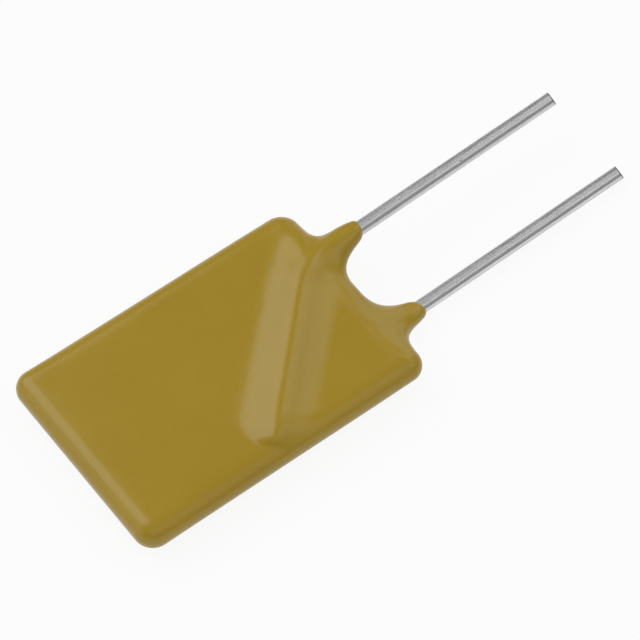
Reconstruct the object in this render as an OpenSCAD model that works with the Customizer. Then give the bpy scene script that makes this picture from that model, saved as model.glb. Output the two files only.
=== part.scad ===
// Resettable fuse of the radial leaded kind: a conductive polymer chip between
// two nickel foils, a round tinned wire soldered to each foil, and a dipped
// epoxy coating. It lies on its back, with +X along the wires and +Z up.

/* [Chip] */
// Length of the polymer chip, along the bare wires
chip_length = 17.1; // [14:0.1:22]
// Width of the polymer chip
chip_width = 11.5; // [10:0.1:16]
// Thickness of the conductive polymer sheet
core_thickness = 0.76; // [0.5:0.02:1.2]
// Thickness of each nickel foil
foil_thickness = 0.035; // [0.02:0.005:0.08]

/* [Wires] */
// Diameter of the wire
wire_diameter = 0.81; // [0.6:0.01:1]
// Spacing of the two wires where they leave the coating, centre to centre
wire_pitch = 5.08; // [4:0.02:7]
// Length of bare front wire beyond the coating
front_bare_length = 13.6; // [5:0.05:30]
// Length of bare rear wire beyond the coating
rear_bare_length = 14.25; // [5:0.05:30]
// Angle that the two bare wires lean together, toward the front wire's side
wire_lean = 1.4; // [0.75:0.05:3]
// Radius of the slight bend of that lean, to the centre of the wire
lean_radius = 10; // [6:0.5:20]
// Distance past the chip's short edge at which the bend over the chip starts
bend_overhang = 0.9; // [0.5:0.05:1.2]
// Angle of the bend over the chip
bend_angle = 45; // [35:1:55]
// Radius of the bend over the chip, to the centre of the wire
bend_radius = 4.5; // [3.5:0.1:5.5]
// Distance from the end of the wire to the chip's long edge
end_margin = 0.7; // [0.6:0.1:3]

/* [Solder] */
// Solder between the wire and the foil
solder_gap = 0.03; // [0.02:0.01:0.1]
// Width of the solder on the foil
solder_foot = 1.5; // [1.2:0.1:2]
// Width of the solder at the middle height of the wire
solder_top = 0.7; // [0.5:0.02:0.76]
// Distance from the chip's short edge to the start of the solder
solder_inset = 0.1; // [0.05:0.05:0.3]
// Solder past the end of the wire
solder_tail = 0.1; // [0.05:0.05:0.3]

/* [Coating] */
// Coating on the flat faces
face_coat = 0.53; // [0.4:0.01:0.8]
// Coating on the chip's edges
edge_coat = 0.5; // [0.4:0.05:0.8]
// Radius of the body's corners at the blind end, seen from above
corner_radius = 1.15; // [0.95:0.05:2]
// Radius of the body's corners at the wires' end, seen from above
shoulder_radius = 1.3; // [0.95:0.05:2]
// Coating over the crest of each wire on the faces
ridge_coat = 0.23; // [0.15:0.01:0.3]
// Distance from a wire's centre line to the foot of its ridge, seen from above
ridge_foot = 2.4; // [1.8:0.1:3]
// Coating above and below each wire in its collar
wire_coat = 0.1; // [0.06:0.01:0.2]
// Coating beside each wire behind the rounded end of its collar
collar_coat = 0.2; // [0.12:0.01:0.3]
// Length of the rounded end of each collar
collar_nose = 0.45; // [0.3:0.05:0.7]
// Width that each side of a collar gains per length
collar_flare = 0.12; // [0.05:0.01:0.2]
// Length that the collar climbs the front wire
front_climb = 2.1; // [1.6:0.05:3.4]
// Length that the collar climbs the rear wire
rear_climb = 2.25; // [1.6:0.05:3.4]
// Reach of the web between the body and the collars, seen from above
web_blend = 1.5; // [0.9:0.05:1.8]

/* [Hidden] */
$fn = 64;

// The stack, from the chip's middle plane outward
chip_thickness = core_thickness + 2 * foil_thickness;
wire_radius = wire_diameter / 2;
wire_z = chip_thickness / 2 + solder_gap + wire_radius;
wire_y = wire_pitch / 2;

// The coated body
body_length = chip_length + 2 * edge_coat;
body_width = chip_width + 2 * edge_coat;
body_thickness = chip_thickness + 2 * face_coat;
rim_radius = body_thickness / 2;
body_end = body_length / 2;
body_side = body_width / 2;
front_coat_end = body_end + front_climb;
rear_coat_end = body_end + rear_climb;
farthest_coat = max(front_coat_end, rear_coat_end) + 1;

// The wire over the chip: the bend's start, its end and the end of the run
bend_x = chip_length / 2 + bend_overhang;
run_x = bend_x - bend_radius * sin(bend_angle);
run_y = wire_y - bend_radius * (1 - cos(bend_angle));
run_end_y = end_margin - chip_width / 2;
run_length = (run_y - run_end_y) / sin(bend_angle);
run_end_x = run_x - run_length * cos(bend_angle);

// The bare wire's wall starts a little inside the coating, after the slight bend
wall_lap = 0.1;
lean_length = lean_radius * sin(wire_lean);
lean_offset = lean_radius * (1 - cos(wire_lean));

// A bend is a little thicker than the straights, which reach a little way into it
bend_swell = 0.005;
bend_lap = 0.02;

// Highest point of a ridge, and the middle of the whole length
crest = wire_z + wire_radius + ridge_coat;
function tip_x(coat_end, bare_length) =
    coat_end - wall_lap + (bare_length + wall_lap) * cos(wire_lean) + wire_radius * sin(wire_lean);
tips = [tip_x(front_coat_end, front_bare_length), tip_x(rear_coat_end, rear_bare_length)];
middle_x = (max(tips) - body_end) / 2;

// Depth of the skirt that joins the solder beds to the chip in the coating's hollow
bed_skirt = 0.1;

// Form of a ridge: how long its foot is, how far it goes on past the wire, and how much steeper it ends
// than it falls to the sides. Over its last stretch it also narrows and sinks.
ridge_taper = 3;
ridge_tail = 0.35;
ridge_end_slope = 1.5;
ridge_end_length = 1.8;
ridge_end_lead = 1.2;
ridge_narrowing = 0.5;
ridge_sinking = 0.3;
ridge_end_limit = 1.15;

// Form of a collar: where it starts inside the body's end, how far its flare goes, how wide it takes over
// from the face, and the tip that closes inside the wire
collar_root = 1.6;
flare_length = 3;
collar_spread = 2;
nose_tip = 0.15;
nose_gap = 0.3;
collar_core = wire_radius + wire_coat;
collar_turn = min(front_climb, rear_climb) + collar_root - collar_nose - nose_gap;
collar_zone = wire_y + wire_radius + collar_coat + collar_flare * flare_length + web_blend;
least_rim = 0.001;

// Density of the coating's surface: steps along a section, and steps between sections
section_steps = [5, 2, 6, 6, 3, 5, 6];
crest_crowding = 1.6;
rim_steps = 6;
middle_steps = 4;
side_steps = 6;
wire_steps = 6;
collar_steps = 6;
collar_margin = 0.5;
shoulder_share = 1.3;
flank_share = 0.6;
cap_share = 0.48;
collar_reach = wire_radius + collar_coat + collar_margin;
shoulder_x = body_end - shoulder_share * rim_radius;
ridge_reach = ridge_foot / sin(bend_angle);
halvings = 20;

epoxy_colour = [0.61, 0.51, 0.22];
tin_colour = [0.62, 0.62, 0.63];
nickel_colour = [0.72, 0.69, 0.62];
polymer_colour = [0.08, 0.08, 0.09];
solder_colour = [0.7, 0.71, 0.73];

function mix(a, b, t) = a + (b - a) * t;
function clamp01(t) = min(max(t, 0), 1);
function smooth(t) = let (c = clamp01(t)) c * c * (3 - 2 * c);
function smooth_min(a, b, reach) =
    let (near = max(reach - abs(a - b), 0) / reach) min(a, b) - near * near * reach / 4;

// Distance in plan from the front wire's centre line, counted longer past the end of its ridge
function plan_distance(x, y) =
    let (straight = norm([max(bend_x - x, 0), y - wire_y]),
         from_centre = [x - bend_x, y - wire_y + bend_radius],
         turn = atan2(from_centre[1], from_centre[0]) - 90,
         bend = turn >= 0 && turn <= bend_angle ? abs(norm(from_centre) - bend_radius) : straight,
         along = (run_x - x) * cos(bend_angle) + (run_y - y) * sin(bend_angle),
         aside = (run_x - x) * sin(bend_angle) - (run_y - y) * cos(bend_angle),
         run = norm([max(-along, 0) + ridge_end_slope * max(along - run_length - ridge_tail, 0), aside]))
    min(straight, bend, run);

// Height of the front wire's ridge over the face: a narrow top, a steep flank and a long foot
function ridge_height(x, y) =
    let (along = (run_x - x) * cos(bend_angle) + (run_y - y) * sin(bend_angle),
         ending = pow(min(max(along - run_length + ridge_end_lead, 0) / ridge_end_length, ridge_end_limit), 2),
         foot = ridge_foot * (1 - ridge_narrowing * ending),
         square = pow(min(plan_distance(x, y) / foot, 1), 2))
    (crest - rim_radius) * (1 - ridge_sinking * ending) * pow(1 - square, 2) / (1 + ridge_taper * square);

// Half width and half height of the oval round a wire, which closes on the wire at the collar's end
function collar_halves(x, coat_end) =
    let (inward = coat_end - x,
         nose = sqrt(1 - pow(1 - clamp01(inward / collar_nose), 2)),
         tip = wire_radius * clamp01(1 + inward / nose_tip),
         flare = collar_flare * min(max(inward, 0), flare_length))
    [tip + nose * (collar_coat + flare), tip + nose * wire_coat];

// Distance in plan from the body's own edge, a rounded rectangle
function body_field(x, y) =
    let (corner = x > 0 ? shoulder_radius : corner_radius,
         across_x = abs(x) - body_end + corner,
         across_y = abs(y) - body_side + corner)
    norm([max(across_x, 0), max(across_y, 0)]) + min(max(across_x, across_y), 0) - corner;

// Distance in plan from the coating's edge: the body and the collars, with a web in each angle between them
function edge_field(x, y) =
    let (body = body_field(x, y))
    x < 0 ? body
    : min(smooth_min(body, abs(y - wire_y) - collar_halves(x, front_coat_end)[0], web_blend),
          smooth_min(body, abs(y + wire_y) - collar_halves(x, rear_coat_end)[0], web_blend));

// How far the face has turned into a collar at a place, from 0 on the body to 1 along the wire
function collar_share(x, beside) =
    smooth((x - body_end + collar_root) / collar_turn)
    * (1 - smooth((beside - collar_core) / collar_spread));

// Height of the coating in front (facing 1) or behind (-1). The face and its ridge turn into the ovals of the
// collars, and towards the edge the skin bends to its middle level as a quarter of an ellipse.
function skin_height(x, y, facing) =
    let (front = collar_share(x, abs(y - wire_y)),
         rear = collar_share(x, abs(y + wire_y)),
         front_halves = collar_halves(x, front_coat_end),
         rear_halves = collar_halves(x, rear_coat_end),
         face = facing * (rim_radius + ridge_height(x, facing * y)),
         middle = (front - rear) * wire_z,
         level = face + front * (wire_z + facing * front_halves[1] - face)
                      + rear * (facing * rear_halves[1] - wire_z - face),
         rim = max(rim_radius + front * (front_halves[0] - rim_radius)
                              + rear * (rear_halves[0] - rim_radius), least_rim),
         near_edge = clamp01((edge_field(x, y) + rim) / rim))
    middle + (level - middle) * sqrt(1 - near_edge * near_edge);

// Searches along a section for the coating's edge, between a place inside and one outside, by halving
function edge_reach(y, low, high, left) =
    left == 0 ? (low + high) / 2
    : let (middle = (low + high) / 2)
      edge_field(middle, y) < 0
          ? edge_reach(y, middle, high, left - 1)
          : edge_reach(y, low, middle, left - 1);

// Reach of the body's own outline from its middle, for a section at y
function outline_reach(y, corner) =
    let (across = max(abs(y) - body_side + corner, 0))
    body_end - corner + sqrt(max(corner * corner - across * across, 0));

// The stations across the width, from the middle outward, for half of the body
half_stations =
    let (inner = wire_y - collar_reach, outer = wire_y + collar_reach, flat_end = body_side - rim_radius)
    [for (i = [0 : middle_steps - 1]) inner * i / middle_steps,
     for (i = [0 : collar_steps - 1]) mix(inner, wire_y - collar_core, i / collar_steps),
     for (i = [0 : wire_steps - 1]) wire_y + mix(-collar_core, collar_core, i / wire_steps),
     for (i = [0 : collar_steps - 1]) mix(wire_y + collar_core, outer, i / collar_steps),
     for (i = [0 : side_steps - 1]) mix(outer, flat_end, i / side_steps),
     for (i = [0 : rim_steps]) flat_end + rim_radius * sin(90 * i / rim_steps)];

// Where the front ridge's crest lies along the length, for a section at y
crest_line = [[-body_side, run_end_x], [run_end_y, run_end_x], [run_y, run_x],
              [wire_y, bend_x], [body_side, run_end_x]];

// One section of a sheet: points from the blind end to the wires' end; facing is 1 in front, -1 behind
function section(y, facing) =
    let (start = -outline_reach(y, corner_radius),
         plain_reach = outline_reach(y, shoulder_radius),
         reach = abs(y) > collar_zone
                     ? plain_reach
                     : edge_reach(y, plain_reach - rim_radius, farthest_coat, halvings),
         ridge = min(lookup(facing * y, crest_line), shoulder_x - rim_radius / 2),
         shoulder = min(shoulder_x, reach - rim_radius / 2),
         marks = [start, start + rim_radius, max(ridge - ridge_reach, start + 2 * rim_radius), ridge,
                  min(ridge + ridge_reach, mix(ridge, shoulder, flank_share)), shoulder,
                  mix(shoulder, reach, cap_share), reach],
         shares = [for (s = [0 : 6]) [for (i = [0 : section_steps[s] - 1])
             let (t = i / section_steps[s])
             s == 0 ? 1 - cos(90 * t)
             : s == 2 ? 1 - pow(1 - t, crest_crowding)
             : s == 3 ? pow(t, crest_crowding)
             : s == 6 ? sin(90 * t)
             : t]],
         places = [for (s = [0 : 6]) for (t = shares[s]) mix(marks[s], marks[s + 1], t), reach])
    [for (x = places) [x, y, skin_height(x, y, facing)]];

// The closed outside of the coating: a front sheet and a rear sheet that share their rim
module coating_skin() {
    outward = half_stations;
    inward = [for (i = [len(outward) - 1 : -1 : 1]) -outward[i]];
    stations = concat(inward, outward);
    rows = len(stations);
    front = [for (j = [0 : rows - 1]) section(stations[j], 1)];
    behind = [for (j = [1 : rows - 2]) section(stations[j], -1)];
    columns = len(front[0]);
    rear = [for (row = behind) for (i = [1 : columns - 2]) row[i]];
    function front_index(j, i) = j * columns + i;
    function rear_index(j, i) =
        j == 0 || j == rows - 1 || i == 0 || i == columns - 1
            ? front_index(j, i)
            : rows * columns + (j - 1) * (columns - 2) + i - 1;
    points = concat([for (row = front) each row], rear);
    function split(a, b, c, d) =
        norm(points[a] - points[c]) <= norm(points[b] - points[d])
            ? [[a, b, c], [a, c, d]]
            : [[a, b, d], [b, c, d]];
    faces = [for (j = [0 : rows - 2]) for (i = [0 : columns - 2]) each concat(
        split(front_index(j, i), front_index(j + 1, i), front_index(j + 1, i + 1), front_index(j, i + 1)),
        split(rear_index(j, i), rear_index(j, i + 1), rear_index(j + 1, i + 1), rear_index(j + 1, i)))];
    polyhedron(points, faces, convexity = 6);
}

// Sets the part on its back, with the origin under the middle of its length
module placed() {
    translate([-middle_x, 0, crest]) children();
}

// Turns a front piece into its rear twin
module turned() {
    rotate([180, 0, 0]) children();
}

module along_x(length, radius) {
    rotate([0, 90, 0]) cylinder(h = length, r = radius);
}

module wire_arc(radius, from, angle) {
    rotate([0, 0, from]) rotate_extrude(angle = angle)
        translate([radius, 0]) circle(r = wire_radius + bend_swell);
}

// One wire in the front place; lean is +1 to lean away from the middle and -1 toward it
module wire(lean, coat_end, bare_length) {
    wall_x = coat_end - wall_lap;
    lean_x = wall_x - lean_length;
    translate([0, wire_y, wire_z]) {
        translate([bend_x - bend_lap, 0, 0]) along_x(lean_x - bend_x + 2 * bend_lap, wire_radius);
        translate([bend_x, -bend_radius, 0]) wire_arc(bend_radius, 90, bend_angle);
        translate([lean_x, lean * lean_radius, 0])
            wire_arc(lean_radius, lean > 0 ? -90 : 90 - wire_lean, wire_lean);
        translate([wall_x, lean * lean_offset, 0])
            rotate([0, 0, lean * wire_lean])
                translate([-bend_lap, 0, 0]) along_x(bare_length + wall_lap + bend_lap, wire_radius);
    }
    translate([run_x, run_y, wire_z]) rotate([0, 0, 180 + bend_angle])
        translate([-bend_lap, 0, 0]) along_x(run_length + bend_lap, wire_radius);
}

module front_wire() {
    wire(1, front_coat_end, front_bare_length);
}

module rear_wire() {
    turned() wire(-1, rear_coat_end, rear_bare_length);
}

// Profile of the solder: a foot on the foil that narrows to the wire's middle height
module solder_profile(depth, swell = 0) {
    foot = solder_foot / 2 + swell;
    top = solder_top / 2 + swell;
    foot_z = -solder_gap - wire_radius;
    polygon([[-foot, foot_z], [-foot, foot_z - depth], [foot, foot_z - depth], [foot, foot_z],
             [top, swell], [-top, swell]]);
}

// The bed of solder under one wire before the wire is laid in it, with a skirt of some depth. It stops
// short of the chip's edge.
module solder_bed(depth) {
    intersection() {
        union() {
            translate([bend_x, wire_y - bend_radius, wire_z]) rotate([0, 0, 90])
                rotate_extrude(angle = bend_angle)
                    translate([bend_radius, 0]) solder_profile(depth, bend_swell);
            translate([run_x, run_y, wire_z]) rotate([0, 0, 180 + bend_angle]) translate([-bend_lap, 0, 0])
                rotate([90, 0, 90]) linear_extrude(run_length + solder_tail + bend_lap) solder_profile(depth);
        }
        translate([-chip_length / 2, -chip_width / 2, 0])
            cube([chip_length - solder_inset, chip_width, 2 * wire_z]);
    }
}

module chip_block(thickness) {
    cube([chip_length, chip_width, thickness], center = true);
}

module foil() {
    translate([0, 0, (core_thickness + foil_thickness) / 2]) chip_block(foil_thickness);
}

module solder() {
    difference() {
        solder_bed(0);
        front_wire();
    }
}

module polymer_core() {
    color(polymer_colour) placed() chip_block(core_thickness);
}

module front_foil() {
    color(nickel_colour) placed() foil();
}

module rear_foil() {
    color(nickel_colour) placed() turned() foil();
}

module front_solder() {
    color(solder_colour) placed() solder();
}

module rear_solder() {
    color(solder_colour) placed() turned() solder();
}

module front_lead() {
    color(tin_colour) placed() front_wire();
}

module rear_lead() {
    color(tin_colour) placed() rear_wire();
}

module epoxy_coating() {
    color(epoxy_colour) placed() difference() {
        coating_skin();
        chip_block(chip_thickness);
        solder_bed(bed_skirt);
        front_wire();
        turned() solder_bed(bed_skirt);
        rear_wire();
    }
}

polymer_core();
front_foil();
rear_foil();
front_solder();
rear_solder();
front_lead();
rear_lead();
epoxy_coating();
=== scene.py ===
"""A radial leaded resettable fuse, lying on its back on a pale floor.

Sizes are in millimetres from the chip's middle, and each mesh is written in metres in the solids' frame.
"""

import bpy
import numpy as np
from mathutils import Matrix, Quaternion, Vector


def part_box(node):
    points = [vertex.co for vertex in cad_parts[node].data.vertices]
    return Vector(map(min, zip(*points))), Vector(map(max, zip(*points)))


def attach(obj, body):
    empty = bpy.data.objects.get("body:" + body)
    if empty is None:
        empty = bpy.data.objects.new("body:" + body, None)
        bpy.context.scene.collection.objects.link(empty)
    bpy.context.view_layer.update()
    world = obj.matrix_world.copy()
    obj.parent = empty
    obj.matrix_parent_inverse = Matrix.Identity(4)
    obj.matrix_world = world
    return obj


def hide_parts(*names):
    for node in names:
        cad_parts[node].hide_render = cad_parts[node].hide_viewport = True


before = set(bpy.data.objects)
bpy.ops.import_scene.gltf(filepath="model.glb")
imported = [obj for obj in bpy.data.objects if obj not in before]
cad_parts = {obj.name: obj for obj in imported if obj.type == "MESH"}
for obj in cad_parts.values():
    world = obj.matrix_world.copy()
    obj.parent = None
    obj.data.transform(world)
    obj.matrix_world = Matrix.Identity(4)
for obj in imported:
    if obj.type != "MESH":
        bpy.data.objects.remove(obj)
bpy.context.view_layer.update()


# Polymer sheet: polyethylene filled with carbon black, pressed flat between two foils.
# It is the fuse itself: it swells when it warms, and its carbon chains come apart.
# The coating seals it in, so its solid is kept and only gets a finish.
class Socket:
    """One socket in a material's nodes. Arithmetic on it adds Math nodes."""

    def __init__(self, tree, out=None):
        self.tree = tree
        self.out = out

    def node(self, kind, settings=None, inputs=None, output=0):
        """Adds a node: its settings first, then a value or a link for each input. Gives one output."""
        made = self.tree.nodes.new(kind)
        for name, value in (settings or {}).items():
            setattr(made, name, value)
        for name, value in (inputs or {}).items():
            if isinstance(value, Socket):
                self.tree.links.new(value.out, made.inputs[name])
            else:
                made.inputs[name].default_value = value
        return Socket(self.tree, made.outputs[output])

    def maths(self, operation, first, second):
        """One Math node on two values or sockets."""
        return self.node("ShaderNodeMath", {"operation": operation}, {0: first, 1: second})

    def __add__(self, other):
        return self.maths("ADD", self, other)

    def __radd__(self, other):
        return self.maths("ADD", other, self)

    def __sub__(self, other):
        return self.maths("SUBTRACT", self, other)

    def __rsub__(self, other):
        return self.maths("SUBTRACT", other, self)

    def __mul__(self, other):
        return self.maths("MULTIPLY", self, other)

    def __rmul__(self, other):
        return self.maths("MULTIPLY", other, self)

    def noise(self, scale, detail=2.0):
        """Cloudy values from 0 to 1 over these coordinates, with so many clouds in one unit of length."""
        return self.node("ShaderNodeTexNoise", {}, {"Vector": self, "Scale": scale, "Detail": detail})

    def between(self, low, high):
        """0 below low, 1 above high, and a straight climb from one to the other."""
        return self.node("ShaderNodeMapRange", {}, {"Value": self, "From Min": low, "From Max": high})

    def blend(self, first, second):
        """A colour that goes from the first to the second as this value goes from 0 to 1."""
        return self.node("ShaderNodeMix", {"data_type": "RGBA"}, {0: self, 6: first, 7: second}, output=2)

    def bump(self, strength, depth):
        """A normal that this height, from 0 to 1, tilts. Depth is in metres."""
        return self.node("ShaderNodeBump", {}, {"Height": self, "Strength": strength, "Distance": depth})

    def feed(self, shader, name):
        """Links this socket to the shader's input of that name."""
        self.tree.links.new(self.out, shader.inputs[name])


def start_finish(name, metallic=0.0):
    """A new material with one shader. Gives the material, the shader and its Object coordinates."""
    material = bpy.data.materials.new(name)
    material.use_nodes = True
    tree = material.node_tree
    tree.nodes.clear()
    shader = tree.nodes.new("ShaderNodeBsdfPrincipled")
    shader.inputs["Metallic"].default_value = metallic
    output = tree.nodes.new("ShaderNodeOutputMaterial")
    tree.links.new(shader.outputs[0], output.inputs[0])
    return material, shader, Socket(tree).node("ShaderNodeTexCoord", output="Object")


def dress(node, finish):
    """Gives a solid that stays in the scene its finish."""
    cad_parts[node].data.materials.clear()
    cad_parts[node].data.materials.append(finish)


carbon_black = (0.008, 0.008, 0.009, 1)
carbon_grey = (0.022, 0.022, 0.024, 1)
carbon_polymer, shader, place = start_finish("carbon_polymer")
carbon_clumps = place.noise(900.0, 4.0)
press_marks = place.noise(6000.0)
carbon_clumps.blend(carbon_black, carbon_grey).feed(shader, "Base Color")
(0.55 + carbon_clumps * 0.25).feed(shader, "Roughness")
press_marks.bump(0.3, 2e-5).feed(shader, "Normal")
dress("polymer_core", carbon_polymer)


# Foils: nickel, rough on the side that grips the polymer, pressed on hot over the whole sheet.
# Nodules less than a tenth of a millimetre across cover them.
dark_nickel = (0.34, 0.31, 0.25, 1)
pale_nickel = (0.56, 0.52, 0.44, 1)
nickel_foil, shader, place = start_finish("nickel_foil", metallic=1.0)
nodules = place.noise(12000.0, 3.0)
dull_patches = place.noise(700.0)
nodules.blend(dark_nickel, pale_nickel).feed(shader, "Base Color")
(0.4 + dull_patches * 0.25).feed(shader, "Roughness")
nodules.bump(0.5, 1e-5).feed(shader, "Normal")
dress("front_foil", nickel_foil)
dress("rear_foil", nickel_foil)


# Solder: a bed of tin alloy that reflowed under each wire and froze with a dull, rippled skin.
# It joins the wire to the foil for the whole of its run over the chip.
dark_solder = (0.42, 0.43, 0.45, 1)
pale_solder = (0.62, 0.63, 0.65, 1)
reflowed_solder, shader, place = start_finish("reflowed_solder", metallic=1.0)
ripples = place.noise(2500.0, 3.0)
ripples.blend(dark_solder, pale_solder).feed(shader, "Base Color")
(0.25 + ripples * 0.3).feed(shader, "Roughness")
ripples.bump(0.4, 2e-5).feed(shader, "Normal")
dress("front_solder", reflowed_solder)
dress("rear_solder", reflowed_solder)


# Wires: copper of 20 gauge, tin plated and drawn through a die, which leaves fine lines along it.
# Each crosses its face of the chip at a slant, turns and leaves the body straight. The free end is
# sheared off, and handling leaves a few small nicks.
millimetre = 0.001
chip_middle = sum(np.array(corner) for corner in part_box("polymer_core")) / 2
wire_radius = 0.405
wire_y = 2.54
wire_z = 0.85
bend_radius = 4.5
bend_x = 9.45
bend_angle = np.radians(45.0)
run_start = np.array([bend_x - bend_radius * np.sin(bend_angle),
                      wire_y - bend_radius * (1 - np.cos(bend_angle))])
run_end_y = -5.05
run_length = (run_start[1] - run_end_y) / np.sin(bend_angle)
run_end = run_start - run_length * np.array([np.cos(bend_angle), np.sin(bend_angle)])
wall_lap = 0.1
lean_radius = 10.0
sheared_edge = 0.05
cut_reach = 1.5
path_steps = (10, 24, 8, 12, 280)
edge_rings = 7
ring_points = 96


def spread(marks, steps):
    """Places from mark to mark, with so many steps between each two and both ends kept."""
    parts = [np.linspace(a, b, n, endpoint=False) for a, b, n in zip(marks, marks[1:], steps)]
    return np.concatenate(parts + [np.asarray(marks[-1:])])


def drawn_wire(coat_end, bare_length, lean, cut, nicks):
    """A ring carried along the wire's path. The path adds up its heading: slanting over the chip, then
    turning to lie along the body, then leaning a little as it leaves the coating. The last rings shrink
    round the cut edge. Cut is the slope of the sheared end across and up, and each nick takes a dimple
    out of the radius that falls off as a bell curve along the wire and round it. Gives the points, the
    faces, and each point's place in the wire as drawn: along it from the free end, across and up."""
    straight = coat_end - wall_lap - lean_radius * np.sin(abs(lean)) - bend_x
    marks = np.cumsum([0, run_length, bend_radius * bend_angle, straight, lean_radius * abs(lean),
                       wall_lap + bare_length - sheared_edge])
    turn = np.linspace(0, np.pi / 2, edge_rings)
    along = np.concatenate([spread(marks, path_steps)[:-1], marks[-1] + sheared_edge * np.sin(turn)])
    inset = np.concatenate([np.zeros(sum(path_steps)), sheared_edge * (1 - np.cos(turn))])
    heading = np.interp(along, marks, [bend_angle, bend_angle, 0, 0, lean, lean])
    middle = (heading[1:] + heading[:-1]) / 2
    step = np.diff(along)
    path_x = run_end[0] + np.concatenate([[0], np.cumsum(step * np.cos(middle))])
    path_y = run_end[1] + np.concatenate([[0], np.cumsum(step * np.sin(middle))])

    angle = np.linspace(0, 2 * np.pi, ring_points, endpoint=False)[None, :]
    from_coat = (along - marks[-1] + bare_length - sheared_edge)[:, None]
    radius = wire_radius - inset[:, None] + 0 * angle
    for where, side, length, width, depth in nicks:
        round_to = (angle - np.radians(side) + np.pi) % (2 * np.pi) - np.pi
        fall_off = -((from_coat - where) / length) ** 2 - (wire_radius * round_to / width) ** 2
        radius -= depth * np.exp(fall_off)
    across = radius * np.cos(angle)
    up = radius * np.sin(angle)
    near_end = np.clip((from_coat - bare_length + cut_reach) / cut_reach, 0, 1)
    back = near_end * (cut[0] * across + cut[1] * up)
    sine = np.sin(heading)[:, None]
    cosine = np.cos(heading)[:, None]
    rings = np.stack([path_x[:, None] - across * sine - back * cosine,
                      path_y[:, None] + across * cosine - back * sine,
                      wire_z + up], axis=-1)
    ends = np.stack([rings[0].mean(0), rings[-1].mean(0)])
    points = np.concatenate([rings.reshape(-1, 3), ends])
    from_end = along - along[-1]
    drawn = np.stack([from_end[:, None] + 0 * angle, across, up], axis=-1).reshape(-1, 3)
    drawn = np.concatenate([drawn, [[from_end[0], 0, 0], [0, 0, 0]]])

    index = np.arange(rings.shape[0] * rings.shape[1]).reshape(rings.shape[:2])
    beside = np.roll(index, -1, axis=1)
    sides = np.stack([index[:-1], beside[:-1], beside[1:], index[1:]], axis=-1).reshape(-1, 4)
    first = np.stack([np.full(ring_points, len(points) - 2), beside[0], index[0]], axis=-1)
    last = np.stack([np.full(ring_points, len(points) - 1), index[-1], beside[-1]], axis=-1)
    return points, sides.tolist() + first.tolist() + last.tolist(), drawn


def lay_piece(name, points, faces, finish, node):
    """Makes a smooth mesh of points in millimetres, in the place of a solid."""
    mesh = bpy.data.meshes.new(name)
    mesh.from_pydata(points * millimetre + chip_middle, [], faces)
    mesh.polygons.foreach_set("use_smooth", np.ones(len(mesh.polygons), bool))
    mesh.materials.append(finish)
    mesh.update()
    piece = bpy.data.objects.new(name, mesh)
    bpy.context.scene.collection.objects.link(piece)
    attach(piece, "root")
    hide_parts(node)
    return piece


# The plating: dull tin, with die lines that follow the wire, a fine grain and a few dark scuffs. Painted
# highlights lie along two lines round the wire and painted shade along a line between them, and painted
# shade darkens the sheared edge.
dull_tin = (0.45, 0.45, 0.455, 1)
bright_tin = (0.71, 0.71, 0.715, 1)
painted_cut_shade = (0.10, 0.10, 0.10, 1)
# Degrees round the wire of the two painted highlight lines and of the painted shade line between them.
upper_highlight_side = 106.0
shade_side = 140.0
lower_highlight_side = 164.0
line_half_angle = 15.0
tinned_wire, shader, place = start_finish("tinned_wire", metallic=1.0)
wire_place = place.node("ShaderNodeAttribute", {"attribute_name": "drawn"}, output="Vector")
place_along, place_across, place_up = (
    wire_place.node("ShaderNodeSeparateXYZ", {}, {"Vector": wire_place}, output=axis) for axis in "XYZ")


def drawn_noise(along, around, detail):
    """Noise in the wire's own place, with so many clouds in a millimetre along it and around it."""
    stretch = {"Vector": wire_place, "Scale": (along, around, around)}
    return wire_place.node("ShaderNodeMapping", {}, stretch).noise(1.0, detail)


def painted_light_line(side):
    """1 along two opposite lines of the wire, so many degrees round it, and 0 beyond their half angle.
    These carry painted highlights or painted shade.
    """
    facing = place_across * np.cos(np.radians(side)) + place_up * np.sin(np.radians(side))
    line_edge = wire_radius * np.cos(np.radians(line_half_angle))
    return facing.maths("ABSOLUTE", facing, 0.0).between(line_edge, wire_radius)


die_lines = drawn_noise(0.35, 14.0, 3.0)
grain = drawn_noise(1.8, 14.0, 3.0)
scuffs = drawn_noise(1.2, 5.0, 2.0).between(0.56, 0.72)
# Painted shade over the last few hundredths of a millimetre of the wire, at its sheared edge.
painted_cut_shade_mask = place_along.between(-0.09, -0.04)
tone = die_lines.between(0.3, 0.7) * 0.6 + grain.between(0.3, 0.7) * 0.4
tone = tone * (1 - scuffs * 0.35)
# Painted highlights along two lines of the wire and painted shade along the line between them.
tone = tone + painted_light_line(upper_highlight_side) * 0.5 - painted_light_line(shade_side) * 0.8
tone = tone + painted_light_line(lower_highlight_side) * 0.5
painted_cut_shade_mask.blend(tone.blend(dull_tin, bright_tin), painted_cut_shade).feed(shader, "Base Color")
(0.30 + grain * 0.12 + scuffs * 0.08).feed(shader, "Roughness")
(die_lines * 0.7 + grain * 0.3).bump(0.5, 1.2e-5).feed(shader, "Normal")


def lay_wire(name, wire, facing, node):
    """Lays a wire on the chip's front (facing 1), or turned over about the long axis on its rear (-1)."""
    points, faces, drawn = wire
    turned = points * np.array([1, facing, facing])
    piece = lay_piece(name, turned, faces, tinned_wire, node)
    attribute = piece.data.attributes.new("drawn", "FLOAT_VECTOR", "POINT")
    attribute.data.foreach_set("vector", drawn.ravel())


# Each wire's own accidents. A nick is given by its distance from the coating, its degrees round the
# wire, and its length, width and depth.
front_coat_end = 11.15
front_bare_length = 13.68
front_lean = np.radians(1.75)
front_cut = (-0.15, 0.40)
front_nicks = [(6.9, 122.0, 0.13, 0.06, 0.035),
               (4.7, 175.0, 0.10, 0.05, 0.02),
               (5.1, 70.0, 0.2, 0.04, 0.012)]
front_wire = drawn_wire(front_coat_end, front_bare_length, front_lean, front_cut, front_nicks)
lay_wire("front_lead_wire", front_wire, 1, "front_lead")

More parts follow.
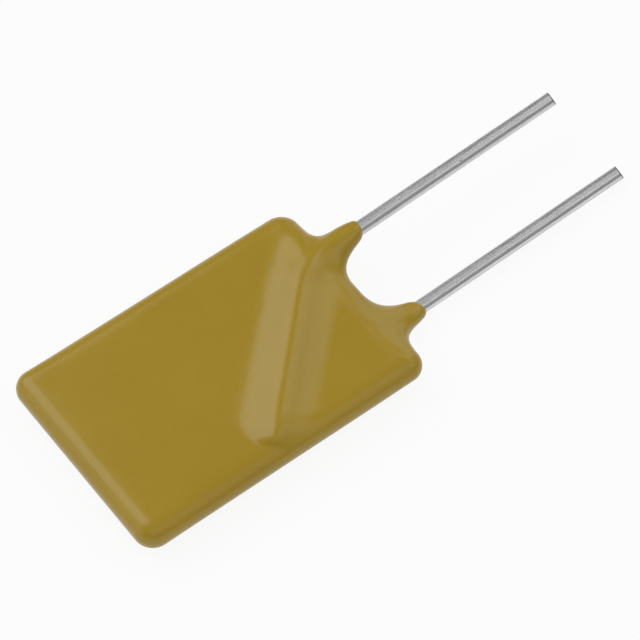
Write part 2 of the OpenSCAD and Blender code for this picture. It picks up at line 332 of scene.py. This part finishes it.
rear_coat_end = 11.3
rear_bare_length = 14.16
rear_lean = -np.radians(1.25)
rear_cut = (0.13, -0.40)
rear_nicks = [(9.3, 250.0, 0.2, 0.04, 0.012),
              (2.4, 300.0, 0.12, 0.05, 0.015)]
rear_wire = drawn_wire(rear_coat_end, rear_bare_length, rear_lean, rear_cut, rear_nicks)
lay_wire("rear_lead_wire", rear_wire, -1, "rear_lead")


# Coating: mustard epoxy that the whole chip is dipped in and that cures with a soft sheen.
# It lies flat on the faces, drapes like a tent over each slanting wire, rounds every edge and climbs
# a little way up the leads, where it ends in a thin collar.
body_end = 9.05
body_side = 6.25
near_blind_corner = 1.15
far_blind_corner = 1.0
near_lead_corner = 0.98
far_lead_corner = 1.15
lead_skew = 0.010

# Its rims: how far in they reach, how square they are, and where they change towards either end.
rim_radius = 0.945
rim_root = 0.47
rim_width = 1.45
rim_power = 2.8
blind_rim_width = 1.2
blind_rim_start = 6.0
blind_rim_turn = 2.2
soft_rim_width = 1.9
soft_rim_power = 3.0
soft_rim_start = 5.5
soft_rim_turn = 3.0

# Its collars, the webs beside them, and the stretch in which the flat face turns into a collar.
wire_coat = 0.1
collar_coat = 0.07
collar_nose = 0.25
nose_tip = 0.15
collar_flare = 0.38
collar_curve = 0.085
flare_length = 3.0
front_slant = 0.13
rear_slant = 0.4
slant_reach = 0.6
middle_web = 1.4
far_web = 1.0
near_web = 1.9
web_change = 0.8
collar_start = 7.5
collar_turn = 3.9
collar_core = 0.505
collar_spread = 2.0

# Its tent over the wire, how that ends, and the fold that goes on from it.
tent_crest = 0.533
tent_foot = 2.4
tent_left_gain = 0.3
tent_right_loss = 0.2
tent_taper = 3.0
tent_tail = 0.35
tent_end_slope = 1.5
tent_end_lead = 1.2
tent_end_length = 1.8
tent_end_limit = 1.15
tent_narrowing = 0.5
tent_sinking = 0.3
fold_length = 10.5
fold_blend = 0.08
fold_onset = 1.0
tiny = 1e-6


def smooth(t):
    """Climbs from 0 to 1 with level ends: three times the square less twice the cube."""
    t = np.clip(t, 0, 1)
    return t * t * (3 - 2 * t)


def soft_min(a, b, reach):
    """The smaller of two fields, with a round fillet where they are within reach of each other."""
    near = np.maximum(reach - np.abs(a - b), 0) / reach
    return np.minimum(a, b) - near * near * reach / 4


def run_place(x, y):
    """Distance along the wire's slanting run, from the bend towards its end, and aside from it."""
    sine = np.sin(bend_angle)
    cosine = np.cos(bend_angle)
    along = (run_start[0] - x) * cosine + (run_start[1] - y) * sine
    aside = (run_start[0] - x) * sine - (run_start[1] - y) * cosine
    return along, aside


def wire_distance(x, y):
    """Distance in plan from the front wire's centre line: the straight, the bend and the slanting run. Past
    the run's end it counts for more, because the coating slopes down steeper there."""
    straight = np.hypot(np.maximum(bend_x - x, 0), y - wire_y)
    from_x = x - bend_x
    from_y = y - wire_y + bend_radius
    turned = np.arctan2(from_y, from_x) - np.pi / 2
    in_bend = (turned >= 0) & (turned <= bend_angle)
    bend = np.where(in_bend, np.abs(np.hypot(from_x, from_y) - bend_radius), straight)
    along, aside = run_place(x, y)
    past_end = np.maximum(along - run_length - tent_tail, 0)
    run = np.hypot(np.maximum(-along, 0) + tent_end_slope * past_end, aside)
    return np.minimum(np.minimum(straight, bend), run)


def tent_profile(share):
    """The tent's height over its crest: with w as the square of the share of its half width,
    (1 - w)^2 / (1 + taper w). That is a narrow top, a steep flank and a long foot."""
    w = np.minimum(share, 1) ** 2
    return (1 - w) ** 2 / (1 + tent_taper * w)


def tent_height(x, y):
    """How far the coating stands over the face: the tent's profile over the distance from the wire's centre
    line. Along the run its foot widens on one side and narrows on the other. Near the wire's end the tent
    narrows and sinks, more and more. Where the wire bends away, a fold of the tent goes straight on
    towards the corner and fades out."""
    along, aside = run_place(x, y)
    ending = np.clip((along - run_length + tent_end_lead) / tent_end_length, 0, tent_end_limit) ** 2
    change = np.where(aside > 0, tent_left_gain, -tent_right_loss)
    foot = tent_foot + change * np.clip(along / run_length, 0, 1)
    narrowed = foot * (1 - tent_narrowing * ending)
    over_wire = tent_crest * (1 - tent_sinking * ending) * tent_profile(wire_distance(x, y) / narrowed)
    fading = np.clip(1 + along / fold_length, 0, 1)
    over_fold = tent_crest * fading * tent_profile(np.abs(aside) / tent_foot)
    past_bend = np.maximum(-along, 0)
    over_fold = np.where(past_bend > 0, over_fold, 0)
    return -soft_min(-over_wire, -over_fold, tiny + fold_blend * smooth(past_bend / fold_onset))


def collar_halves(x, y, coat_end, slant):
    """Half width and half height of the oval round a wire. It closes on the wire as a quarter circle at the
    coating's end, which slants across the wire. Towards the body its width flares, less and less."""
    inward = coat_end + slant * np.clip(y - wire_y, -slant_reach, slant_reach) - x
    nose = np.sqrt(1 - (1 - np.clip(inward / collar_nose, 0, 1)) ** 2)
    tip = wire_radius * np.clip(1 + inward / nose_tip, 0, 1)
    flare = np.clip(inward, 0, flare_length)
    flare = flare * (collar_flare - collar_curve * flare)
    return tip + nose * (collar_coat + flare), tip + nose * wire_coat


def outline_field(x, y):
    """Distance in plan from the coating's edge: a rectangle with round corners and the two collars, with
    a web in each angle between them. The webs outside the collars differ from the middle ones."""
    lead_corner = np.where(y > 0, far_lead_corner, near_lead_corner)
    blind_corner = np.where(y > 0, far_blind_corner, near_blind_corner)
    corner = np.where(x > 0, lead_corner, blind_corner)
    across_x = np.abs(x) - body_end + corner + np.where(x > 0, lead_skew * y, 0)
    across_y = np.abs(y) - body_side + corner
    outside = np.hypot(np.maximum(across_x, 0), np.maximum(across_y, 0))
    body = outside + np.minimum(np.maximum(across_x, across_y), 0) - corner
    front = np.abs(y - wire_y) - collar_halves(x, y, front_coat_end, front_slant)[0]
    rear = np.abs(y + wire_y) - collar_halves(x, -y, rear_coat_end, rear_slant)[0]
    web = middle_web + (far_web - middle_web) * smooth((y - wire_y) / web_change + 0.5)
    web = web + (near_web - middle_web) * smooth((-y - wire_y) / web_change + 0.5)
    webbed = np.minimum(soft_min(body, front, web), soft_min(body, rear, web))
    return np.where(x > 0, webbed, body)


def skin_height(x, y, facing):
    """Height of the coating's front (facing 1) or rear (-1). The flat face with its tent turns into the
    oval collars as it leaves the body. Over the rim's width it bends down to the middle level: with t as
    the share of the way to the edge, (1 - t^power)^root. Width and power change towards the ends."""
    middle = 0 * x
    level = facing * (rim_radius + tent_height(x, facing * y))
    softness = smooth((x - soft_rim_start) / soft_rim_turn)
    rim = rim_width + (soft_rim_width - rim_width) * softness
    rim = rim + (blind_rim_width - rim_width) * smooth((-x - blind_rim_start) / blind_rim_turn)
    power = rim_power + (soft_rim_power - rim_power) * softness
    leaving = smooth((x - collar_start) / collar_turn)
    for side, coat_end, slant in ((1, front_coat_end, front_slant), (-1, rear_coat_end, rear_slant)):
        half_width, half_height = collar_halves(x, side * y, coat_end, slant)
        beside = np.abs(side * y - wire_y)
        share = leaving * (1 - smooth((beside - collar_core) / collar_spread))
        middle = middle + share * side * wire_z
        level = level + share * (side * wire_z + facing * half_height - level)
        rim = rim + share * (np.maximum(half_width, tiny) - rim)
    towards_edge = np.clip((outline_field(x, y) + rim) / rim, 0, 1)
    return middle + (level - middle) * (1 - towards_edge ** power) ** rim_root


def crossing(field, inside, outside):
    """Where a field crosses zero between places inside and outside, by halving the gaps, all at once."""
    halvings = 26
    for _ in range(halvings):
        halfway = (inside + outside) / 2
        within = field(halfway) < 0
        inside = np.where(within, halfway, inside)
        outside = np.where(within, outside, halfway)
    return (inside + outside) / 2


# Sections across the width: close together at the collars and at the rims of the long sides. Each goes
# from the blind edge to the leads' edge, which are looked for between a place well inside and one outside.
flat_side = body_side - rim_radius
collar_from = 1.2
collar_half = 0.5
collar_to = 3.9
half_marks = [0, collar_from, wire_y - collar_half, wire_y + collar_half, collar_to, flat_side]
rim_sections = flat_side + rim_radius * np.sin(np.linspace(0, np.pi / 2, 25))
half_sections = np.concatenate([spread(half_marks, (12, 28, 30, 28, 18))[:-1], rim_sections])
section_y = np.concatenate([-half_sections[:0:-1], half_sections])
edge_y = np.clip(section_y, tiny - body_side, body_side - tiny)
well_inside = np.full_like(section_y, 5.0)
past_blind_end = np.full_like(section_y, body_end + 0.1)
past_collars = np.full_like(section_y, rear_coat_end + 1.0)
blind_edge = -crossing(lambda x: outline_field(-x, edge_y), well_inside, past_blind_end)
lead_edge = crossing(lambda x: outline_field(x, edge_y), well_inside, past_collars)


def coat_sheet(facing):
    """One side of the coating. Each section runs from the blind end to the wires' end, close together at
    the rims and over the crest. The marks follow the crest across the width, a flank to either side of it,
    the shoulder where the leads' rim begins, and a place about half way from there to the edge."""
    flank = 3.0
    corner_crest_x = 2.0
    shoulder_rims = 1.3
    crest_gap = 0.6
    flank_share = 0.6
    edge_share = 0.48
    crest_y = [-body_side, run_end[1], run_start[1], wire_y, body_side]
    crest_at = [run_end[0], run_end[0], run_start[0], bend_x, corner_crest_x]
    shoulder = np.minimum(body_end - shoulder_rims * rim_radius, lead_edge - rim_radius / 2)
    crest_x = np.minimum(np.interp(facing * section_y, crest_y, crest_at), shoulder - crest_gap)
    far_flank = np.minimum(crest_x + flank, (1 - flank_share) * crest_x + flank_share * shoulder)
    near_edge = shoulder + edge_share * (lead_edge - shoulder)
    marks = [blind_edge + rim_radius, crest_x - flank, crest_x, far_flank, shoulder, near_edge]
    blind_turn = 1 - np.cos(np.linspace(0, np.pi / 2, 20, endpoint=False))
    lead_turn = np.sin(np.linspace(0, np.pi / 2, 31))
    parts = [blind_edge[:, None] + rim_radius * blind_turn]
    for a, b, n in zip(marks, marks[1:], (16, 40, 40, 10, 18)):
        parts.append(a[:, None] + (b - a)[:, None] * np.linspace(0, 1, n, endpoint=False))
    parts.append(near_edge[:, None] + (lead_edge - near_edge)[:, None] * lead_turn)
    x = np.concatenate(parts, axis=1)
    y = section_y[:, None] + 0 * x
    return np.stack([x, y, skin_height(x, y, facing)], axis=-1)


def sheet_faces(index):
    """Quads of a sheet, facing up."""
    corners = [index[:-1, :-1], index[:-1, 1:], index[1:, 1:], index[1:, :-1]]
    return np.stack(corners, axis=-1).reshape(-1, 4)


# The two sheets share the points of their edge, so the coating is closed.
front_sheet = coat_sheet(1)
rear_sheet = coat_sheet(-1)
rows, columns = front_sheet.shape[:2]
front_index = np.arange(rows * columns).reshape(rows, columns)
inner_index = np.arange((rows - 2) * (columns - 2)).reshape(rows - 2, columns - 2)
rear_index = front_index.copy()
rear_index[1:-1, 1:-1] = rows * columns + inner_index
coat_points = np.concatenate([front_sheet.reshape(-1, 3), rear_sheet[1:-1, 1:-1].reshape(-1, 3)])
coat_faces = np.concatenate([sheet_faces(front_index), sheet_faces(rear_index)[:, ::-1]])

# The epoxy's finish: an even mustard with faint clouds of pigment, a soft sheen and a very slight peel.
deep_mustard = (0.343, 0.221, 0.0108, 1)
pale_mustard = (0.370, 0.243, 0.0146, 1)
mustard_epoxy, shader, place = start_finish("mustard_epoxy")
shader.inputs["IOR"].default_value = 1.46
clouds = place.noise(260.0, 3.0).between(0.25, 0.75)
specks = place.noise(5200.0, 2.0).between(0.3, 0.7)
peel = place.noise(1100.0, 2.0)
(clouds * 0.6 + specks * 0.4).blend(deep_mustard, pale_mustard).feed(shader, "Base Color")
(0.235 + clouds * 0.02 + specks * 0.01).feed(shader, "Roughness")
(peel * 0.8 + specks * 0.2).bump(0.12, 2.5e-5).feed(shader, "Normal")
lay_piece("dipped_coating", coat_points, coat_faces, mustard_epoxy, "epoxy_coating")


# Floor: a pale sheet that the fuse lies on. It keeps the fuse's shadow, and the camera and the gloss
# of the pieces see it nearly white.
floor_half = 1.5
floor_white = (0.98, 0.98, 0.98, 1)
floor_glow = 0.93
floor_mesh = bpy.data.meshes.new("floor")
floor_corners = np.array([[-1, -1, 0], [1, -1, 0], [1, 1, 0], [-1, 1, 0]]) * floor_half
floor_mesh.from_pydata(floor_corners, [], [[0, 1, 2, 3]])
floor = bpy.data.objects.new("floor", floor_mesh)
bpy.context.scene.collection.objects.link(floor)
pale_floor = bpy.data.materials.new("pale_floor")
pale_floor.use_nodes = True
tree = pale_floor.node_tree
tree.nodes.clear()
matte = Socket(tree).node("ShaderNodeBsdfDiffuse", {}, {"Color": floor_white})
glow = Socket(tree).node("ShaderNodeEmission", {}, {"Color": floor_white, "Strength": 1.0})
ray = tree.nodes.new("ShaderNodeLightPath")
seen = Socket(tree, ray.outputs["Is Camera Ray"]) + Socket(tree, ray.outputs["Is Glossy Ray"])
seen = seen + Socket(tree, ray.outputs["Is Transmission Ray"])
shown = matte.node("ShaderNodeMixShader", {}, {0: seen * floor_glow, 1: matte, 2: glow})
tree.links.new(shown.out, tree.nodes.new("ShaderNodeOutputMaterial").inputs[0])
floor_mesh.materials.append(pale_floor)


# Studio: a grey room, a bright soft panel on the picture's left and a weaker one on its right, with a
# dark gap between them that the flat face mirrors. Dim panels at the sides, beyond the leads and in front
# show in the rims and the wires, and one overhead fills the shade without a reflection.
room_grey = (0.25, 0.25, 0.25, 1)
room = bpy.data.worlds.new("room")
bpy.context.scene.world = room
room.use_nodes = True
room.node_tree.nodes["Background"].inputs["Color"].default_value = room_grey


def soft_panel(name, towards, roll, distance, width, height, radiance):
    """A rectangular lamp that faces the fuse from a direction, rolled about it by some degrees. Its power
    gives the radiance asked for: radiance times pi times its area."""
    lamp = bpy.data.lights.new(name, "AREA")
    lamp.shape = "RECTANGLE"
    lamp.size = width
    lamp.size_y = height
    lamp.energy = radiance * np.pi * width * height
    panel = bpy.data.objects.new(name, lamp)
    direction = Vector(towards).normalized()
    panel.location = direction * distance
    rolled = Quaternion((0, 0, 1), np.radians(roll))
    panel.rotation_euler = (direction.to_track_quat("Z", "Y") @ rolled).to_euler()
    panel.visible_camera = False
    bpy.context.scene.collection.objects.link(panel)
    return panel


soft_panel("left_panel", towards=(-0.215, 0.641, 0.742), roll=-42.0, distance=0.45,
           width=0.35, height=0.38, radiance=2.1)
soft_panel("side_panel", towards=(-0.86, 0.35, 0.37), roll=0.0, distance=0.50,
           width=0.40, height=0.30, radiance=0.85)
soft_panel("right_panel", towards=(0.628, 0.157, 0.762), roll=36.5, distance=0.45,
           width=0.25, height=0.13, radiance=1.6)
soft_panel("corner_panel", towards=(0.62, -0.42, 0.66), roll=0.0, distance=0.50,
           width=0.26, height=0.34, radiance=0.8)
soft_panel("lead_panel", towards=(0.84, 0.40, 0.36), roll=0.0, distance=0.50,
           width=0.28, height=0.24, radiance=0.85)
fill_panel = soft_panel("fill_panel", towards=(-0.05, -0.25, 0.97), roll=0.0, distance=0.50,
                        width=0.30, height=0.30, radiance=1.45)
fill_panel.visible_glossy = False
soft_panel("front_panel", towards=(-0.10, -0.74, 0.67), roll=0.0, distance=0.50,
           width=0.65, height=0.40, radiance=0.5)


# Camera: a long lens that looks down at the fuse from over the near corner of its blind end.
scene = bpy.context.scene
scene.view_settings.view_transform = "Standard"
view_camera = bpy.data.cameras.new("view_camera")
view_camera.lens = 185.742
view_camera.sensor_width = 36.0
view_camera.clip_start = 0.01
camera = bpy.data.objects.new("view_camera", view_camera)
camera.location = (-0.05759, -0.075508, 0.148853)
camera.rotation_euler = np.radians([32.3955, 0.3595, -37.1044])
scene.collection.objects.link(camera)
scene.camera = camera
